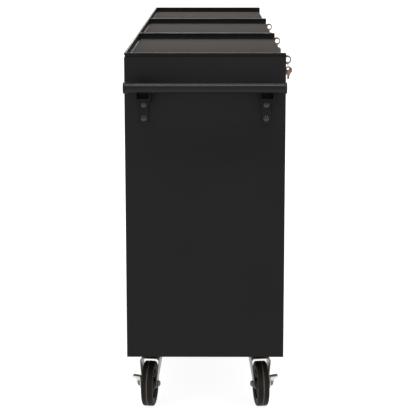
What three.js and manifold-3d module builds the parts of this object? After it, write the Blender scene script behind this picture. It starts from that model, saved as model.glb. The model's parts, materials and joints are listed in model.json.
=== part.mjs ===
// Rolling tool chest: three five-drawer cabinets bolted side by side on six casters.
// Millimetres, +Z up. X runs along the chest, with the push handle at the -X end, and the
// drawers open towards -Y. The origin is on the floor, at the centre of the chest's whole box.
import * as THREE from "three";
import { mergeVertices } from "three/addons/utils/BufferGeometryUtils.js";
import Module from "manifold-3d";

const wasm = await Module();
wasm.setup();

// ---------------------------------------------------------------- driving dimensions

const CABINETS = ["left", "middle", "right"];
const CABINET_WIDTH = 660;
const DEPTH = 432;
const OVERALL_HEIGHT = 1009;
const CASE_BOTTOM = 166; // underside of the cabinets, on top of the crossmembers
const GAP = 0.3; // between pieces that touch
const SHEET = 1.5; // steel sheet of cabinets and drawers

const FRONT = -DEPTH / 2;
const BACK = DEPTH / 2;
const HALF_LENGTH = (CABINETS.length * CABINET_WIDTH) / 2;

// top: the deck carries the tray, and the side and back panels stand up round it
const PANEL_TOP = 997;
const DECK_TOP = 985;
const TRAY_FLOOR = 988;
const TRAY_WALL = 2.2;
const HEM_HEIGHT = 5.5;
const HEM_WIDTH = 5;
const RIM_CORNER = 4;
const HEM_CORNER = 1.5; // inside the bend of the hem
const NOSE_DEPTH = 8; // the tray's rolled front edge
const MAT_THICKNESS = 3.2;

// front: a fixed fascia that carries the lock, five drawers, a bottom rail and two posts
const POST_WIDTH = 24;
const BOTTOM_RAIL_TOP = 191;
const FASCIA_BOTTOM = 853;
const DRAWER_HEIGHTS = [95, 95, 120, 150, 184]; // fronts, from the top down
const DRAWER_GAP = 3;
const FRONT_THICKNESS = 18;
const TUB_HALF_WIDTH = 292;
const TUB_BACK = 180;
const SLIDE_HEIGHT = 30;
const SLIDE_CENTRE = 35; // above the bottom of a drawer front
const UPRIGHT_WIDTH = 25;

// lock, key, and link with the spare key: distances out from the fascia and down from the lock
const LOCK_X = 207; // from the centre line of a cabinet
const LOCK_Z = 937;
const PLUG_RADIUS = 6.2;
const KEY_HALF = 1.1; // half a key's thickness
const BLADE_HALF = 3.5;
const BOW_OUT = 32;
const BOW_RADIUS = 14;
const EYE_OUT = 35;
const EYE_RADIUS = 7.5;
const LINK_OUT = 36;
const LINK_DROP = 15.7;
const LINK_RADIUS = 9.5;
const LINK_WIRE = 0.9;
const SPARE_OUT = 37;
const SPARE_DROP = 33;
const SPARE_RADIUS = 12;
const SPARE_EYE_DROP = 28.1;
const SPARE_EYE_RADIUS = 3.6;

// push handle on the -X end
const HANDLE_Z = 921;
const HANDLE_OUT = 50;
const HANDLE_RADIUS = 14;
const CAP_LENGTH = 6.5;
const CAP_END = 3;
const CAP_WALL = 1.2;
const BRACKET_Y = 164;
const BRACKET_WIDTH = 37.5;
const BRACKET_TOP = 925;
const BRACKET_BOTTOM = 818;
const SHOULDER_Z = 873; // below this the bracket's plate narrows to a tongue
const TONGUE_HALF = 12;
const BOLT_HEIGHTS = [870, 833];

// casters: 127 mm wheels on forks that trail the swivel
const WHEEL_RADIUS = 63.5;
const WHEEL_WIDTH = 31.75;
const AXLE_RADIUS = 5.5;
const FORK_TOP = 139;
const FORK_WIDTH = 56;
const FORK_LEG = 2.5;
const HUB_CLEARANCE = 2.5; // from the tyre's side to a leg, at the axle
const LEG_SPLAY = THREE.MathUtils.degToRad(6);
const TRAIL = 37;
const TOE = THREE.MathUtils.degToRad(7);
const SWIVEL_IN = 111.6; // from the chest's end to the swivel
const SWIVEL_Y = 152.5;
const PLATE_BOTTOM = 158;

// the chest's whole box is centred on the origin
const KEY_REACH = SPARE_OUT + SPARE_RADIUS;
const HANDLE_REACH = HANDLE_OUT + HANDLE_RADIUS + CAP_WALL;
const TO_ORIGIN = new THREE.Vector3((HANDLE_REACH + GAP) / 2, KEY_REACH / 2, 0);

// ---------------------------------------------------------------- materials

const finish = (color, roughness, metalness) =>
  new THREE.MeshStandardMaterial({ color, roughness, metalness, flatShading: true });
const blackPaint = finish("#1b1b1c", 0.45, 0.1);
const trayPaint = finish("#141415", 0.5, 0.1);
const matFoam = finish("#544e4a", 0.95, 0);
const blackPlastic = finish("#0e0e0f", 0.6, 0);
const tubePaint = finish("#2a2a2b", 0.35, 0.2);
const zinc = finish("#b9bab4", 0.35, 0.9);
const keyMetal = finish("#a89183", 0.3, 0.9);
const chrome = finish("#cfd0d2", 0.15, 1);
const rubber = finish("#1a1716", 0.8, 0);

// ---------------------------------------------------------------- solids

// A closed geometry as a manifold solid, which can be joined and cut.
function solid(geometry) {
  const bare = geometry.clone();
  bare.deleteAttribute("normal");
  bare.deleteAttribute("uv");
  const merged = mergeVertices(bare, 1e-4);
  return new wasm.Manifold(
    new wasm.Mesh({
      numProp: 3,
      vertProperties: new Float32Array(merged.attributes.position.array),
      triVerts: new Uint32Array(merged.index.array),
    }),
  );
}

function geometryOf(manifold) {
  const { vertProperties, triVerts } = manifold.getMesh();
  return new THREE.BufferGeometry()
    .setAttribute("position", new THREE.BufferAttribute(vertProperties, 3))
    .setIndex(new THREE.BufferAttribute(triVerts, 1));
}

const asSolid = (piece) => (piece.isBufferGeometry ? solid(piece) : piece);
const join = (...pieces) => pieces.map(asSolid).reduce((all, next) => all.add(next));
const cut = (piece, ...tools) =>
  tools.map(asSolid).reduce((rest, tool) => rest.subtract(tool), asSolid(piece));

const span = (side, a, b) => [side * a, side * b].sort((low, high) => low - high);

function block([x0, x1], [y0, y1], [z0, z1]) {
  const box = new THREE.BoxGeometry(x1 - x0, y1 - y0, z1 - z0);
  return box.translate((x0 + x1) / 2, (y0 + y1) / 2, (z0 + z1) / 2);
}

// Cylinders along X, along Y and along Z, each between two ends.
function pegAlongX(radius, [x0, x1], y, z, sides = 16) {
  const peg = new THREE.CylinderGeometry(radius, radius, x1 - x0, sides);
  return peg.rotateZ(Math.PI / 2).translate((x0 + x1) / 2, y, z);
}

function pegAlongY(radius, [y0, y1], x, z, sides = 16) {
  return new THREE.CylinderGeometry(radius, radius, y1 - y0, sides).translate(x, (y0 + y1) / 2, z);
}

function pegAlongZ(radius, [z0, z1], x, y, sides = 16) {
  const peg = new THREE.CylinderGeometry(radius, radius, z1 - z0, sides);
  return peg.rotateX(Math.PI / 2).translate(x, y, (z0 + z1) / 2);
}

// An outline drawn out by a length; curves in it get the given number of segments.
function drawnOut(shape, length, curveSegments) {
  return new THREE.ExtrudeGeometry(shape, { depth: length, bevelEnabled: false, curveSegments });
}

// An outline in Y and Z drawn along X, one in X and Z along Y, and one in X and Y along Z.
const sectionAlongX = (shape, [x0, x1], curveSegments = 3) =>
  drawnOut(shape, x1 - x0, curveSegments)
    .rotateX(Math.PI / 2)
    .rotateZ(Math.PI / 2)
    .translate(x0, 0, 0);
const sectionAlongY = (shape, [y0, y1], curveSegments = 4) =>
  drawnOut(shape, y1 - y0, curveSegments).rotateX(Math.PI / 2).translate(0, y1, 0);
const sectionAlongZ = (shape, [z0, z1], curveSegments = 3) =>
  drawnOut(shape, z1 - z0, curveSegments).translate(0, 0, z0);

const outline = (points) => new THREE.Shape(points.map(([u, v]) => new THREE.Vector2(u, v)));

// A profile of [radius, height] turned about the Y axis.
function turnedAboutY(profile, sides, phase = 0) {
  const points = profile.map(([radius, height]) => new THREE.Vector2(radius, height));
  return new THREE.LatheGeometry(points, sides, phase);
}

function named(name, shape, material) {
  const mesh = new THREE.Mesh(geometryOf(asSolid(shape)), material);
  mesh.name = name;
  return mesh;
}

// ---------------------------------------------------------------- cabinet

const SIDE = CABINET_WIDTH / 2 - GAP; // outer face of a side panel
const INNER_SIDE = SIDE - SHEET;
const OPENING = CABINET_WIDTH / 2 - POST_WIDTH; // half the drawers' opening
const NOSE_TOP = TRAY_FLOOR - NOSE_DEPTH;

function makeCarcass() {
  const shell = block([-SIDE, SIDE], [FRONT, BACK], [CASE_BOTTOM, PANEL_TOP]);
  const inside = block(
    [-INNER_SIDE, INNER_SIDE],
    [FRONT + SHEET, BACK - SHEET],
    [CASE_BOTTOM + SHEET, DECK_TOP - SHEET],
  );
  const trayWell = block([-INNER_SIDE, INNER_SIDE], [FRONT - 1, BACK - SHEET], [DECK_TOP, PANEL_TOP + 1]);
  const noseStep = block(
    [-INNER_SIDE, INNER_SIDE],
    [FRONT - 1, FRONT + NOSE_DEPTH + GAP],
    [NOSE_TOP - GAP, PANEL_TOP],
  );
  const stepFold = join(
    block([-SIDE, SIDE], [FRONT, FRONT + NOSE_DEPTH + GAP + SHEET], [NOSE_TOP - GAP - SHEET, NOSE_TOP - GAP]),
    block(
      [-SIDE, SIDE],
      [FRONT + NOSE_DEPTH + GAP, FRONT + NOSE_DEPTH + GAP + SHEET],
      [NOSE_TOP - GAP - SHEET, DECK_TOP],
    ),
  );
  const mouth = block([-OPENING, OPENING], [FRONT - 1, FRONT + SHEET + 1], [BOTTOM_RAIL_TOP, FASCIA_BOTTOM]);
  const lockHole = pegAlongY(9.9, [FRONT - 1, FRONT + SHEET + 1], LOCK_X, LOCK_Z);
  const returns = [-1, 1].map((side) =>
    block(
      span(side, OPENING, OPENING + SHEET),
      [FRONT, FRONT + POST_WIDTH],
      [BOTTOM_RAIL_TOP - 1, FASCIA_BOTTOM + 1],
    ),
  );
  const folded = join(cut(shell, inside, trayWell, noseStep), stepFold, ...returns);
  return cut(folded, mouth, lockHole);
}

// Three upstanding rims with a hem along their tops, and a floor that rolls over at the front.
function makeTray() {
  const edge = INNER_SIDE - GAP;
  const rimTop = OVERALL_HEIGHT;
  const hemBottom = rimTop - HEM_HEIGHT;
  const floorBottom = DECK_TOP + GAP;
  const floorFront = FRONT + NOSE_DEPTH / 2;
  const rimSide = new THREE.Shape();
  rimSide.moveTo(FRONT + 1, floorBottom);
  rimSide.lineTo(BACK - SHEET - GAP, floorBottom);
  rimSide.lineTo(BACK - SHEET - GAP, rimTop);
  rimSide.lineTo(FRONT + RIM_CORNER, rimTop);
  rimSide.absarc(FRONT + RIM_CORNER, rimTop - RIM_CORNER, RIM_CORNER, Math.PI / 2, Math.PI, false);
  rimSide.lineTo(FRONT, PANEL_TOP + GAP);
  rimSide.lineTo(FRONT + 1, PANEL_TOP + GAP);
  const hemSide = new THREE.Shape();
  hemSide.moveTo(FRONT + RIM_CORNER, rimTop);
  hemSide.absarc(FRONT + RIM_CORNER, rimTop - RIM_CORNER, RIM_CORNER, Math.PI / 2, Math.PI, false);
  hemSide.lineTo(FRONT, PANEL_TOP + 1.5);
  hemSide.lineTo(FRONT + HEM_WIDTH, PANEL_TOP + 1.5);
  const [bendY, bendZ] = [FRONT + HEM_WIDTH + HEM_CORNER, hemBottom - HEM_CORNER];
  hemSide.absarc(bendY, bendZ, HEM_CORNER, Math.PI, Math.PI / 2, true);
  hemSide.lineTo(BACK, hemBottom);
  hemSide.lineTo(BACK, rimTop);
  const floor = block([-edge, edge], [floorFront, BACK - SHEET - GAP], [floorBottom, TRAY_FLOOR]);
  const nose = new THREE.CylinderGeometry(NOSE_DEPTH / 2, NOSE_DEPTH / 2, 2 * edge, 8);
  nose.rotateZ(Math.PI / 2).translate(0, floorFront, TRAY_FLOOR - NOSE_DEPTH / 2);
  const backWall = block(
    [-edge, edge],
    [BACK - SHEET - GAP - TRAY_WALL, BACK - SHEET - GAP],
    [floorBottom, rimTop],
  );
  const backHem = block([-SIDE, SIDE], [BACK - HEM_WIDTH, BACK], [hemBottom, rimTop]);
  const sides = [-1, 1].flatMap((side) => [
    sectionAlongX(rimSide, span(side, edge - TRAY_WALL, edge)),
    sectionAlongX(hemSide, span(side, SIDE - HEM_WIDTH, SIDE)),
  ]);
  return join(floor, nose, backWall, backHem, ...sides);
}

function makeMat() {
  const [halfWidth, front, back, corner] = [321, FRONT + 4, BACK - 9, 6];
  const shape = new THREE.Shape();
  shape.moveTo(-halfWidth + corner, front);
  shape.absarc(halfWidth - corner, front + corner, corner, -Math.PI / 2, 0, false);
  shape.absarc(halfWidth - corner, back - corner, corner, 0, Math.PI / 2, false);
  shape.absarc(-halfWidth + corner, back - corner, corner, Math.PI / 2, Math.PI, false);
  shape.absarc(-halfWidth + corner, front + corner, corner, Math.PI, 1.5 * Math.PI, false);
  return sectionAlongZ(shape, [TRAY_FLOOR + GAP, TRAY_FLOOR + GAP + MAT_THICKNESS], 3);
}

// A drawer stands with the bottom of its front at z = 0. The top edge of the front folds back
// into a trough with an upturned lip, so that fingers reach behind it over the full width.
function makeDrawer(height) {
  const halfFront = OPENING - DRAWER_GAP;
  const inner = FRONT + FRONT_THICKNESS;
  const lipTop = height - 9;
  const troughBottom = height - 22;
  const front = outline([
    [FRONT, 0],
    [inner, 0],
    [inner, height],
    [inner - 4, height],
    [inner - 4, troughBottom + 4],
    [inner - 7, troughBottom],
    [FRONT + 5, troughBottom],
    [FRONT + 2, troughBottom + 4],
    [FRONT + 2, lipTop],
    [FRONT, lipTop],
  ]);
  const tubTop = troughBottom - 2;
  const tub = cut(
    block([-TUB_HALF_WIDTH, TUB_HALF_WIDTH], [inner - 1, TUB_BACK], [8, tubTop]),
    block(
      [-TUB_HALF_WIDTH + SHEET, TUB_HALF_WIDTH - SHEET],
      [inner - 2, TUB_BACK - SHEET],
      [8 + SHEET, tubTop + 1],
    ),
  );
  const members = [-1, 1].map((side) =>
    block(
      span(side, TUB_HALF_WIDTH - 0.5, TUB_HALF_WIDTH + 5.5),
      [inner + 8, TUB_BACK],
      [SLIDE_CENTRE - SLIDE_HEIGHT / 2, SLIDE_CENTRE + SLIDE_HEIGHT / 2],
    ),
  );
  return join(sectionAlongX(front, [-halfFront, halfFront]), tub, ...members);
}

// Bottoms of the five drawer fronts, from the top down.
const drawerBottoms = [];
DRAWER_HEIGHTS.reduce((top, height) => {
  drawerBottoms.push(top - DRAWER_GAP - height);
  return top - DRAWER_GAP - height;
}, FASCIA_BOTTOM);

// Fixed slide members on two Z-section uprights a side, tied across the back of the cabinet.
function makeSlideFrame() {
  const railIn = TUB_HALF_WIDTH + 6;
  const railOut = railIn + 6;
  const wall = INNER_SIDE - GAP;
  const [z0, z1] = [CASE_BOTTOM + SHEET + GAP, FASCIA_BOTTOM - 3];
  const upright = (side, y) =>
    outline([
      [side * (railOut - 0.5), y],
      [side * (railOut + 2), y],
      [side * (railOut + 2), y + UPRIGHT_WIDTH - 2],
      [side * wall, y + UPRIGHT_WIDTH - 2],
      [side * wall, y + UPRIGHT_WIDTH],
      [side * (railOut - 0.5), y + UPRIGHT_WIDTH],
    ]);
  const uprightPlaces = [FRONT + 40, TUB_BACK - UPRIGHT_WIDTH + 5];
  const sides = [-1, 1].flatMap((side) => [
    ...uprightPlaces.map((y) => sectionAlongZ(upright(side, y), [z0, z1])),
    ...drawerBottoms.map((bottom) =>
      block(
        span(side, railIn, railOut),
        [FRONT + FRONT_THICKNESS + 10, TUB_BACK + 5],
        [bottom + SLIDE_CENTRE - 18, bottom + SLIDE_CENTRE + 18],
      ),
    ),
  ]);
  const ties = [z0, z1 - 20].map((z) =>
    block([-railOut - 1, railOut + 1], [TUB_BACK + 3, TUB_BACK + 5], [z, z + 20]),
  );
  return join(...sides, ...ties);
}

// ---------------------------------------------------------------- lock

const PLUG_END = 22; // how far the plug reaches behind the fascia's face

function makeLockBarrel() {
  const barrel = turnedAboutY(
    [
      [PLUG_RADIUS + GAP, -2.5],
      [11, -2.5],
      [12, -1.5],
      [12, -GAP],
      [9.5, -GAP],
      [9.5, PLUG_END],
      [PLUG_RADIUS + GAP, PLUG_END],
      [PLUG_RADIUS + GAP, -2.5],
    ],
    16,
  );
  return barrel.translate(LOCK_X, FRONT, LOCK_Z);
}

// Plug, blade and round bow, which stands upright with its eye near the outer edge.
function makeKey() {
  const thick = [-KEY_HALF, KEY_HALF];
  const plug = pegAlongY(PLUG_RADIUS, [FRONT - 2.2, FRONT + PLUG_END + 3], 0, 0);
  const cam = block([-4, 10], [FRONT + PLUG_END + 2.5, FRONT + PLUG_END + 5.5], [-5, 5]);
  const blade = block(thick, [FRONT - BOW_OUT + 8, FRONT - 2], [-BLADE_HALF, BLADE_HALF]);
  const bow = pegAlongX(BOW_RADIUS, thick, FRONT - BOW_OUT, 0, 24);
  const eye = pegAlongX(EYE_RADIUS, [-2, 2], FRONT - EYE_OUT, 0);
  return cut(join(plug, cam, blade, bow), eye);
}

// Link ring through the bow's eye, with the spare key hanging from it in the plane of the bow.
function makeKeyRing() {
  const thick = [-KEY_HALF, KEY_HALF];
  const link = new THREE.TorusGeometry(LINK_RADIUS, LINK_WIRE, 6, 24).rotateX(Math.PI / 2);
  link.translate(0, -LINK_OUT, -LINK_DROP);
  const bow = pegAlongX(SPARE_RADIUS, thick, -SPARE_OUT, -SPARE_DROP, 20);
  const eye = pegAlongX(SPARE_EYE_RADIUS, [-2, 2], -LINK_OUT, -SPARE_EYE_DROP, 12);
  const collar = block(thick, [-SPARE_OUT - 6, -SPARE_OUT + 6], [-SPARE_DROP - 15, -SPARE_DROP - 11]);
  const blade = block(
    thick,
    [-SPARE_OUT - BLADE_HALF, -SPARE_OUT + BLADE_HALF],
    [-SPARE_DROP - 28, -SPARE_DROP - 11],
  );
  return join(cut(join(bow, collar, blade), eye), link);
}

// ---------------------------------------------------------------- push handle

function makeHandleTube() {
  const half = DEPTH / 2 - CAP_END - GAP;
  const wall = 1.5;
  return turnedAboutY(
    [
      [HANDLE_RADIUS - wall, -half],
      [HANDLE_RADIUS, -half],
      [HANDLE_RADIUS, half],
      [HANDLE_RADIUS - wall, half],
      [HANDLE_RADIUS - wall, -half],
    ],
    24,
  );
}

// A plastic cap: a shallow cup over the end of the tube.
function makeHandleCap() {
  const half = DEPTH / 2;
  return turnedAboutY(
    [
      [0, half - CAP_END],
      [HANDLE_RADIUS + GAP, half - CAP_END],
      [HANDLE_RADIUS + GAP, half - CAP_LENGTH],
      [HANDLE_RADIUS + CAP_WALL, half - CAP_LENGTH],
      [HANDLE_RADIUS + CAP_WALL, half - 2],
      [HANDLE_RADIUS - 1, half],
      [0, half],
    ],
    20,
  );
}

// Folded bracket: a plate with a bolted tongue on the end panel, and two cheeks and a web that
// reach out under the tube.
function makeBracket() {
  const half = BRACKET_WIDTH / 2;
  const fold = 3;
  const plate = join(
    block([-GAP - fold, -GAP], [-half, half], [SHOULDER_Z, BRACKET_TOP]),
    block([-GAP - fold, -GAP], [-TONGUE_HALF, TONGUE_HALF], [BRACKET_BOTTOM, SHOULDER_Z + 1]),
  );
  const cheekShape = outline([
    [-GAP - 1, 878],
    [-GAP - 1, BRACKET_TOP],
    [-HANDLE_OUT + 5, BRACKET_TOP],
    [-HANDLE_OUT - 6, HANDLE_Z - 10],
    [-HANDLE_OUT - 6, 890],
  ]);
  const webShape = outline([
    [-GAP - 1, 878],
    [-GAP - 1, 881],
    [-HANDLE_OUT - 6, 893],
    [-HANDLE_OUT - 6, 890],
  ]);
  const cheeks = [-1, 1].map((side) => sectionAlongY(cheekShape, span(side, half - 2.5, half)));
  const web = sectionAlongY(webShape, [-half, half]);
  const bolts = BOLT_HEIGHTS.map((z) => {
    const head = new THREE.CylinderGeometry(6.5, 6.5, 6, 6);
    return head.rotateZ(Math.PI / 2).translate(-GAP - fold - 2.5, 0, z);
  });
  const tubeRoom = pegAlongY(HANDLE_RADIUS + GAP, [-half - 1, half + 1], -HANDLE_OUT, HANDLE_Z, 24);
  return cut(join(plate, ...cheeks, web, ...bolts), tubeRoom);
}

// ---------------------------------------------------------------- casters

// Channel across the chest with two caster plates and their lower swivel races beneath.
function makeCrossmember(spread) {
  const half = spread + 58;
  const top = CASE_BOTTOM - GAP;
  const channel = join(
    block([-46, 46], [-half, half], [top - 3, top]),
    block([-46, -43], [-half, half], [PLATE_BOTTOM, top]),
    block([43, 46], [-half, half], [PLATE_BOTTOM, top]),
  );
  const seats = [-spread, spread].flatMap((y) => [
    block([-46, 46], [y - 52, y + 52], [PLATE_BOTTOM, top - 2]),
    pegAlongZ(33, [147.5, PLATE_BOTTOM + 1], 0, y, 16),
  ]);
  const kingpinHoles = [-spread, spread].map((y) => pegAlongZ(7.8, [140, top - 2], 0, y, 8));
  return cut(join(channel, ...seats), ...kingpinHoles);
}

// The angle at which a line from a corner touches a circle, on the given side of it.
function touchAngle([cornerX, cornerZ], [centreX, centreZ], radius, side) {
  const [dx, dz] = [cornerX - centreX, cornerZ - centreZ];
  return Math.atan2(dz, dx) + side * Math.acos(radius / Math.hypot(dx, dz));
}

// Stamped yoke: crown, two splayed legs, kingpin and axle. The swivel is the local Z axis.
function makeFork(trail) {
  const eye = [-trail, WHEEL_RADIUS];
  const [rear, ahead] = [
    [-trail * 0.25 - 32, FORK_TOP - 1],
    [28 - trail * 0.1, FORK_TOP - 1],
  ];
  const leg = new THREE.Shape();
  leg.moveTo(...rear);
  leg.lineTo(...ahead);
  const from = touchAngle(ahead, eye, 12, -1);
  const to = touchAngle(rear, eye, 12, 1);
  leg.absarc(...eye, 12, from, to - 2 * Math.PI, true);
  const legAtAxle = WHEEL_WIDTH / 2 + HUB_CLEARANCE + FORK_LEG / 2;
  const legs = [-1, 1].map((side) =>
    sectionAlongY(leg, [-FORK_LEG / 2, FORK_LEG / 2])
      .translate(0, 0, -WHEEL_RADIUS)
      .rotateX(-side * LEG_SPLAY)
      .translate(0, side * legAtAxle, WHEEL_RADIUS),
  );
  const crown = block([rear[0], ahead[0]], [-FORK_WIDTH / 2, FORK_WIDTH / 2], [FORK_TOP - 4, FORK_TOP]);
  const race = pegAlongZ(31, [FORK_TOP - 1, 147], 0, 0, 16);
  const kingpin = pegAlongZ(7, [FORK_TOP, 160], 0, 0, 8);
  const axle = pegAlongY(AXLE_RADIUS, [-30, 35], -trail, WHEEL_RADIUS, 10);
  const nuts = [
    [-28, -20],
    [27.2, 33],
  ].map((ends) => pegAlongY(7.2, ends, -trail, WHEEL_RADIUS, 6));
  return join(crown, race, kingpin, ...legs, axle, ...nuts);
}

// Wheel about the local Y axis, with a flat of its facets on the floor.
function makeWheel() {
  const sides = 20;
  const half = WHEEL_WIDTH / 2;
  const tread = WHEEL_RADIUS / Math.cos(Math.PI / sides);
  const bore = AXLE_RADIUS + GAP;
  return turnedAboutY(
    [
      [bore, -half - 0.8],
      [15, -half - 0.8],
      [20, -half + 5],
      [44, -half + 5],
      [48, -half],
      [59.5, -half],
      [tread, -half + 4.5],
      [tread, half - 4.5],
      [59.5, half],
      [48, half],
      [44, half - 5],
      [20, half - 5],
      [15, half + 0.8],
      [bore, half + 0.8],
      [bore, -half - 0.8],
    ],
    sides,
    Math.PI / 2 + Math.PI / sides,
  );
}

// Brake rocker outside the fork: a plate on the axle, a foot tab that widens towards the plate,
// and a lower tab that hooks down.
function makePedal() {
  const [inner, outer] = [24.2, 26.7];
  const plateShape = outline([
    [-10, -12],
    [10, -12],
    [22, -6],
    [22, 8],
    [6, 22],
    [-18, 22],
  ]);
  const eye = pegAlongY(AXLE_RADIUS + 0.4, [inner - 1, outer + 1], 0, 0, 16);
  const upper = outline([
    [inner, 13],
    [outer, 13],
    [outer + 20, 22.5],
    [outer + 21, 25.5],
    [outer + 19, 26.5],
    [outer, 24],
    [inner, 24],
  ]);
  const lower = outline([
    [inner, 3],
    [outer, 3],
    [outer + 5, 2],
    [outer + 6, -1],
    [outer + 2, -6],
    [outer + 4, -9],
    [outer + 9, -8],
    [outer + 14, -1],
    [outer + 14, 4],
    [outer + 11, 7.5],
    [outer, 10],
    [inner, 10],
  ]);
  return cut(
    join(
      sectionAlongY(plateShape, [inner, outer]),
      sectionAlongX(upper, [-18, 0]),
      sectionAlongX(lower, [8.5, 22]),
    ),
    eye,
  );
}

// ---------------------------------------------------------------- assembly

const shapes = {
  carcass: makeCarcass(),
  tray: makeTray(),
  mat: makeMat(),
  drawers: DRAWER_HEIGHTS.map(makeDrawer),
  slideFrame: makeSlideFrame(),
  lockBarrel: makeLockBarrel(),
  key: makeKey(),
  keyRing: makeKeyRing(),
  wheel: makeWheel(),
};

function cabinet(name, index) {
  const group = new THREE.Group();
  group.position.x = (index - 1) * CABINET_WIDTH;
  group.add(named(`carcass_${name}`, shapes.carcass, blackPaint));
  group.add(named(`top_tray_${name}`, shapes.tray, trayPaint));
  group.add(named(`tray_mat_${name}`, shapes.mat, matFoam));
  group.add(named(`slide_frame_${name}`, shapes.slideFrame, zinc));
  shapes.drawers.forEach((shape, place) => {
    const drawer = named(`drawer_${name}_${place + 1}`, shape, blackPaint);
    drawer.position.z = drawerBottoms[place];
    group.add(drawer);
  });
  group.add(named(`lock_barrel_${name}`, shapes.lockBarrel, chrome));
  const keyPlace = new THREE.Group();
  keyPlace.position.set(LOCK_X, 0, LOCK_Z);
  keyPlace.add(named(`key_${name}`, shapes.key, keyMetal));
  const ring = named(`key_ring_${name}`, shapes.keyRing, keyMetal);
  ring.position.y = FRONT;
  keyPlace.add(ring);
  group.add(keyPlace);
  return group;
}

function pushHandle() {
  const group = new THREE.Group();
  group.position.x = -HALF_LENGTH;
  const tube = named("handle_tube", makeHandleTube(), tubePaint);
  tube.position.set(-HANDLE_OUT, 0, HANDLE_Z);
  group.add(tube);
  for (const [name, side] of [["rear", 1], ["front", -1]]) {
    const cap = named(`handle_cap_${name}`, makeHandleCap(), blackPlastic);
    cap.position.set(-HANDLE_OUT, 0, HANDLE_Z);
    cap.rotation.z = side > 0 ? 0 : Math.PI;
    group.add(cap);
    const bracket = named(`handle_bracket_${name}`, makeBracket(), blackPaint);
    bracket.position.y = side * BRACKET_Y;
    group.add(bracket);
  }
  return group;
}

// A caster stands on its swivel axis. Its outer side, where the brake is, faces side * Y.
function caster(name, x, side, swivels) {
  const trail = swivels ? TRAIL : 0;
  const group = new THREE.Group();
  group.position.set(x, side * (swivels ? SWIVEL_Y : SWIVEL_Y + TRAIL * Math.sin(TOE)), 0);
  group.rotation.z = swivels ? -side * TOE : 0;
  // turned half round, a fork's longer axle end would face inwards, so the -Y side is mirrored
  group.scale.y = side;
  group.add(named(`caster_fork_${name}`, makeFork(trail), zinc));
  const wheel = named(`caster_wheel_${name}`, shapes.wheel, rubber);
  wheel.position.set(-trail, 0, WHEEL_RADIUS);
  group.add(wheel);
  if (swivels) {
    const pedal = named(`brake_lever_${name}`, makePedal(), zinc);
    pedal.position.set(-trail, 0, WHEEL_RADIUS);
    group.add(pedal);
  }
  return group;
}

const chest = new THREE.Group();
chest.position.copy(TO_ORIGIN);
CABINETS.forEach((name, index) => chest.add(cabinet(name, index)));
chest.add(pushHandle());
for (const [end, x, swivels] of [
  ["left", SWIVEL_IN - HALF_LENGTH, true],
  ["middle", 0, false],
  ["right", HALF_LENGTH - SWIVEL_IN, true],
]) {
  const spread = swivels ? SWIVEL_Y : SWIVEL_Y + TRAIL * Math.sin(TOE);
  const crossmember = named(`caster_crossmember_${end}`, makeCrossmember(spread), blackPaint);
  crossmember.position.x = x;
  chest.add(crossmember);
  chest.add(caster(`${end}_rear`, x, 1, swivels));
  chest.add(caster(`${end}_front`, x, -1, swivels));
}

export default chest;
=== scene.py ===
# %% [markdown]
# # A rolling tool chest
# Three steel cabinets stand side by side on six casters. Each has five drawers, a lined
# tray on top and a lock with its keys left in, and one end carries a push handle.
# The solid model is loaded first and stays where it is. Each cell then makes one finish or
# one piece around it, in metres, and says which moving body the piece belongs to.

# %% Load the solid model
import json
import math

import bmesh
import bpy
from mathutils import Matrix, Vector


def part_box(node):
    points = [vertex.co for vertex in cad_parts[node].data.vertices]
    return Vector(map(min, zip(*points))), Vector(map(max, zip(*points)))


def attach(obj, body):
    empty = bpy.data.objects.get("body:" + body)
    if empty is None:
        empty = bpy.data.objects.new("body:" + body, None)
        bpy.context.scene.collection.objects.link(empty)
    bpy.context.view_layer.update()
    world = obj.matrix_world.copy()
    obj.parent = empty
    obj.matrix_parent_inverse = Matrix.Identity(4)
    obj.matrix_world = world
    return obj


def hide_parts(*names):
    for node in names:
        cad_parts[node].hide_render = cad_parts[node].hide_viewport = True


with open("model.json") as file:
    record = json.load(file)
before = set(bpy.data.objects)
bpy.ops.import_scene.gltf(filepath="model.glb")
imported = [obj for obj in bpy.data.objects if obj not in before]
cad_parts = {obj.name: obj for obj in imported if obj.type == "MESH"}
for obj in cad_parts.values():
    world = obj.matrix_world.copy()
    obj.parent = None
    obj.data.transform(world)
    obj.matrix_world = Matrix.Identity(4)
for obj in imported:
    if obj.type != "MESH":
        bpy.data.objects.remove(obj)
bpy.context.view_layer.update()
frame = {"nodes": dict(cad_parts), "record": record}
body_of = {
    node: body
    for body, members in frame["record"]["behaviour"]["bodies"].items()
    for node in members
}
slot_of = {part["node"]: part["material_slot"] for part in frame["record"]["subparts"]}
MM = 0.001
CABINETS = ["left", "middle", "right"]


# %% A helper that puts something in the scene
def stood(name, data):
    """A new object that holds the data, linked to the scene."""
    made = bpy.data.objects.new(name, data)
    bpy.context.scene.collection.objects.link(made)
    return made


# %% [markdown]
# ## Camera
# The chest is seen end on, from a little above its tray rims. A long lens keeps the far
# cabinets large, and a small downward shift keeps the end panel's sides nearly upright.

# %% Camera
LENS, SENSOR, SHIFT = 112.43, 36, -0.15  # millimetres twice, then picture widths
CAMERA_PLACE = (-4.4038, 0.0043, 1.3392)
TILT, PAN = math.radians(9.554), math.radians(0.206)  # down from level, and off the chest's axis
camera_data = bpy.data.cameras.new("camera")
camera_data.lens = LENS
camera_data.sensor_width = SENSOR
camera_data.shift_y = SHIFT
camera_data.clip_end = 200
camera_data.dof.use_dof = False
camera = stood("camera", camera_data)
camera.location = CAMERA_PLACE
level = math.cos(TILT)
looking = Vector((math.cos(PAN) * level, math.sin(PAN) * level, -math.sin(TILT)))
camera.rotation_euler = looking.to_track_quat("-Z", "Y").to_euler()
bpy.context.scene.camera = camera
print("camera", [round(v, 3) for v in camera.location])

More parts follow.
